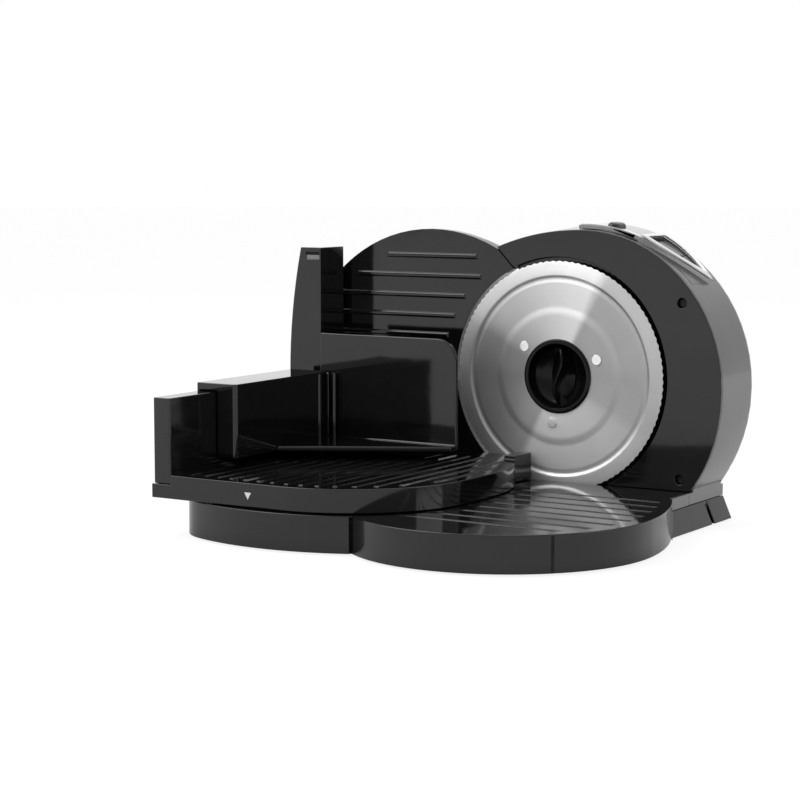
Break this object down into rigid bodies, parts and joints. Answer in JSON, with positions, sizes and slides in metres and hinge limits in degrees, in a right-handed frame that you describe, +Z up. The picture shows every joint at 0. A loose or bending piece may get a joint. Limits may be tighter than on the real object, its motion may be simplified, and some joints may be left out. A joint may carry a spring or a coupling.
{
  "type": "food slicer",
  "caption": "Electric kitchen food slicer with a round blade, sliding carriage, remnant holder and adjustable thickness plate.",
  "frame": {"origin": "on the worktop under the middle of the slicer", "axes": "+X to the operator's right along the blade, +Y away from the operator along the blade's axle, +Z up"},
  "size_m": [0.41, 0.3476, 0.2443],
  "materials": {
    "black_gloss": "polished black plastic",
    "black_satin": "satin black plastic",
    "silver_paint": "silver painted plastic",
    "brushed_steel": "ground stainless steel",
    "bright_steel": "bright steel",
    "grey_plastic": "moulded grey plastic",
    "nylon": "natural nylon",
    "rubber": "soft black rubber",
    "brass": "sintered bronze",
    "copper": "wound copper and iron",
    "board": "green circuit board"
  },
  "bodies": {
    "housing": {"base_upper": "black_gloss", "base_cover": "black_satin", "trim_band": "silver_paint", "guide_rail": "brushed_steel", "front_panel": "black_gloss", "rear_shell": "silver_paint", "panel_screw_upper": "bright_steel", "panel_screw_lower": "bright_steel", "blade_axle": "bright_steel", "gear_pin": "bright_steel", "console": "silver_paint", "key_switch": "grey_plastic", "safety_switch": "grey_plastic", "circuit_board": "board", "capacitor": "grey_plastic", "cord_gland": "black_satin", "motor_can": "brushed_steel", "motor_end_cap": "black_satin", "motor_bracket": "brushed_steel", "shaft_bearing": "brass", "turret": "silver_paint", "guide_rod_left": "bright_steel", "guide_rod_right": "bright_steel", "foot_1": "rubber", "base_screw_1": "bright_steel", "foot_2": "rubber", "base_screw_2": "bright_steel", "foot_3": "rubber", "base_screw_3": "bright_steel", "foot_4": "rubber", "base_screw_4": "bright_steel"},
    "blade_unit": {"blade": "brushed_steel", "blade_gear": "nylon", "blade_rivet_1": "bright_steel", "blade_rivet_2": "bright_steel", "blade_rivet_3": "bright_steel"},
    "blade_lock": {"blade_lock": "black_gloss"},
    "reducer": {"reducer_gear": "nylon"},
    "rotor": {"motor_shaft": "bright_steel", "armature": "copper", "motor_fan": "black_satin"},
    "run_key": {"run_key": "grey_plastic"},
    "pulse_key": {"pulse_key": "grey_plastic"},
    "safety_button": {"safety_button": "black_satin"},
    "carriage": {"carriage_table": "black_gloss", "glide_left": "nylon", "glide_right": "nylon", "trailing_wall": "black_gloss", "finger_guard": "black_gloss"},
    "remnant_holder": {"holder_cap": "black_gloss", "pusher_plate": "black_gloss"},
    "gauge": {"gauge_plate": "black_gloss", "gauge_cover": "silver_paint", "gauge_carrier": "nylon"},
    "knob": {"thickness_spindle": "bright_steel", "scale_dial": "silver_paint", "thickness_knob": "black_satin"}
  },
  "joints": [
    {"name": "rotor_spin", "type": "hinge", "parent": "housing", "child": "rotor", "pos_m": [0.1406, 0.1227, 0.09], "axis": [0, 0, 1], "continuous": true},
    {"name": "blade_spin", "type": "hinge", "parent": "housing", "child": "blade_unit", "pos_m": [0.054, 0.0927, 0.117], "axis": [0, 1, 0], "continuous": true},
    {"name": "reducer_spin", "type": "hinge", "parent": "housing", "child": "reducer", "pos_m": [0.1094, 0.0927, 0.117], "axis": [0, 1, 0], "continuous": true},
    {"name": "blade_lock_turn", "type": "hinge", "parent": "housing", "child": "blade_lock", "pos_m": [0.054, 0.0927, 0.117], "axis": [0, 1, 0], "range_deg": [0, 90]},
    {"name": "carriage_slide", "type": "slide", "parent": "housing", "child": "carriage", "axis": [1, 0, 0], "range_m": [-0.018, 0.15]},
    {"name": "holder_slide", "type": "slide", "parent": "carriage", "child": "remnant_holder", "axis": [0, 1, 0], "range_m": [-0.06, 0.016]},
    {"name": "thickness_turn", "type": "hinge", "parent": "housing", "child": "knob", "pos_m": [-0.096, 0.1527, 0.08], "axis": [0, 1, 0], "range_deg": [0, 300]},
    {"name": "gauge_slide", "type": "slide", "parent": "housing", "child": "gauge", "axis": [0, 1, 0], "range_m": [0, 0.015]},
    {"name": "run_key_press", "type": "slide", "parent": "housing", "child": "run_key", "axis": [-0.6561, 0, -0.7547], "range_m": [0, 0.002], "stiffness_N_per_m": 400, "springref_m": -0.002},
    {"name": "pulse_key_press", "type": "slide", "parent": "housing", "child": "pulse_key", "axis": [-0.5075, 0, -0.8616], "range_m": [0, 0.002], "stiffness_N_per_m": 400, "springref_m": -0.002},
    {"name": "safety_button_press", "type": "slide", "parent": "housing", "child": "safety_button", "axis": [-0.1702, 0, -0.9854], "range_m": [0, 0.0025], "stiffness_N_per_m": 400, "springref_m": -0.002}
  ],
  "couplings": [
    {"joint": "blade_spin", "follows": "rotor_spin", "ratio": 0.017361},
    {"joint": "reducer_spin", "follows": "rotor_spin", "ratio": -0.083333},
    {"joint": "thickness_turn", "follows": "gauge_slide", "rad_per_m": 349.07}
  ]
}
